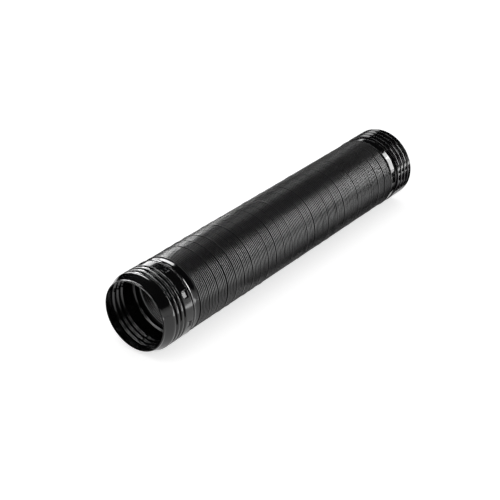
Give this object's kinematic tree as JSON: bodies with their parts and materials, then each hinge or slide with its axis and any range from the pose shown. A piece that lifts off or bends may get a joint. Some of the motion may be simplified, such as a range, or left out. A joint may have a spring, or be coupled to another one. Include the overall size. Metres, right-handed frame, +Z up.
{
  "type": "flexible drain pipe",
  "caption": "Expandable corrugated drain pipe, pushed together, with a ringed snap-in cuff at the inlet, a pleated body that bends and stretches, and a ribbed cuff at the outlet.",
  "frame": {"origin": "under the middle of the pipe's length, on the ground it lies on", "axes": "+X along the pipe from the inlet cuff to the outlet cuff, +Z up, +Y to the left of the flow"},
  "size_m": [0.6258, 0.1176, 0.1175],
  "materials": {
    "polypropylene": "glossy black moulded polypropylene"
  },
  "bodies": {
    "root": {"drain_pipe": "polypropylene"}
  },
  "joints": []
}
